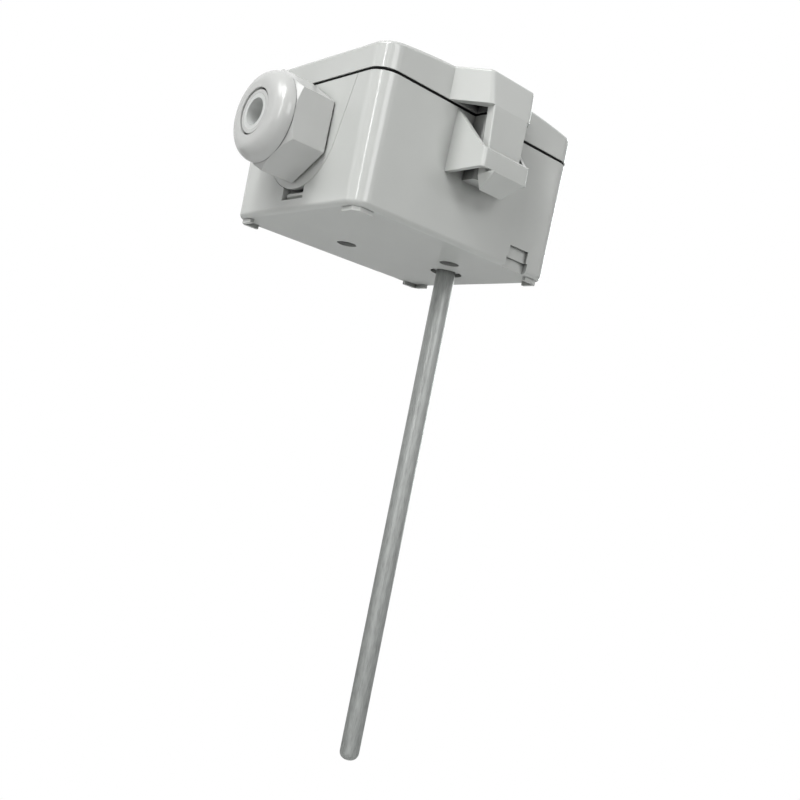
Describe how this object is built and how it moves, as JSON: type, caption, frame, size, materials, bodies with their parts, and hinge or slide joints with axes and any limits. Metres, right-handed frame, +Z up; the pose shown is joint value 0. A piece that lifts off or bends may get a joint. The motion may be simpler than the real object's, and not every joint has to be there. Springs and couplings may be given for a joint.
{
  "type": "duct temperature sensor",
  "caption": "Duct temperature sensor: grey snap-lid housing with a hex cable gland on one end, terminals inside and a thin closed stainless probe tube below.",
  "frame": {"origin": "on the probe tube's axis in the plane of the housing's underside", "axes": "+Z up out of the lid, the tube runs along -Z; -X out of the cable gland; -Y out of the snap strap's side"},
  "size_m": [0.0938, 0.0824, 0.2007],
  "materials": {
    "housing_plastic": "fine spark-eroded mould texture, light grey",
    "gland_plastic": "polished moulded polyamide, light grey",
    "black_rubber": "moulded rubber, dull black",
    "grey_rubber": "moulded rubber, light grey",
    "stainless_tube": "drawn and polished along its length",
    "spring_steel": "stamped and tempered",
    "element_ceramic": "fired alumina",
    "potting_compound": "cured compound",
    "sleeve_plastic": "extruded, off-white",
    "lead_insulation": "extruded insulation",
    "board_laminate": "solder mask over glass laminate",
    "zinc_steel": "zinc plated",
    "terminal_plastic": "moulded, green",
    "nickel_brass": "nickel plated",
    "tinned_copper": "tinned"
  },
  "bodies": {
    "base": {"enclosure_base": "housing_plastic", "gland_plate": "housing_plastic", "probe_tube": "stainless_tube", "probe_oring": "black_rubber", "probe_retaining_ring": "spring_steel", "sensing_element": "element_ceramic", "element_potting": "potting_compound", "lead_sleeve": "sleeve_plastic", "lead_wire_1": "lead_insulation", "lead_wire_2": "lead_insulation", "circuit_board": "board_laminate", "board_screw_1": "zinc_steel", "board_screw_2": "zinc_steel", "terminal_body": "terminal_plastic", "terminal_contact_1": "tinned_copper", "terminal_contact_2": "tinned_copper"},
    "lid": {"lid": "housing_plastic", "lid_snap_strap": "housing_plastic", "lid_seal": "black_rubber"},
    "gland_insert": {"gland_clamp_ring": "gland_plastic", "gland_cable_seal": "grey_rubber"},
    "gland_cap": {"gland_cap_nut": "gland_plastic"},
    "cage_1": {"terminal_cage_1": "nickel_brass"},
    "cage_2": {"terminal_cage_2": "nickel_brass"},
    "screw_1": {"terminal_screw_1": "zinc_steel"},
    "screw_2": {"terminal_screw_2": "zinc_steel"}
  },
  "joints": [
    {"name": "lid_hinge", "type": "hinge", "parent": "base", "child": "lid", "pos_m": [-0.0236, 0.03433, 0.0369], "axis": [-1, 0, 0], "range_deg": [0, 110], "deforming": ["lid_snap_strap"]},
    {"name": "gland_travel", "type": "slide", "parent": "base", "child": "gland_insert", "axis": [-1, 0, 0], "range_m": [0, 0.0045]},
    {"name": "gland_turn", "type": "hinge", "parent": "gland_insert", "child": "gland_cap", "pos_m": [-0.07895, 0, 0.0222], "axis": [-1, 0, 0], "range_deg": [0, 1080]},
    {"name": "cage_1_travel", "type": "slide", "parent": "base", "child": "cage_1", "axis": [0, 0, 1], "range_m": [0, 0.0015]},
    {"name": "screw_1_turn", "type": "hinge", "parent": "base", "child": "screw_1", "pos_m": [-0.0465, -0.0026, 0.0181], "axis": [0, 0, -1], "range_deg": [0, 1200]},
    {"name": "cage_2_travel", "type": "slide", "parent": "base", "child": "cage_2", "axis": [0, 0, 1], "range_m": [0, 0.0015]},
    {"name": "screw_2_turn", "type": "hinge", "parent": "base", "child": "screw_2", "pos_m": [-0.0465, 0.0026, 0.0181], "axis": [0, 0, -1], "range_deg": [0, 1200]}
  ],
  "couplings": [
    {"joint": "gland_travel", "follows": "gland_turn", "m_per_rad": 0.00023873},
    {"joint": "screw_1_turn", "follows": "cage_1_travel", "rad_per_m": 13962},
    {"joint": "screw_2_turn", "follows": "cage_2_travel", "rad_per_m": 13962}
  ]
}
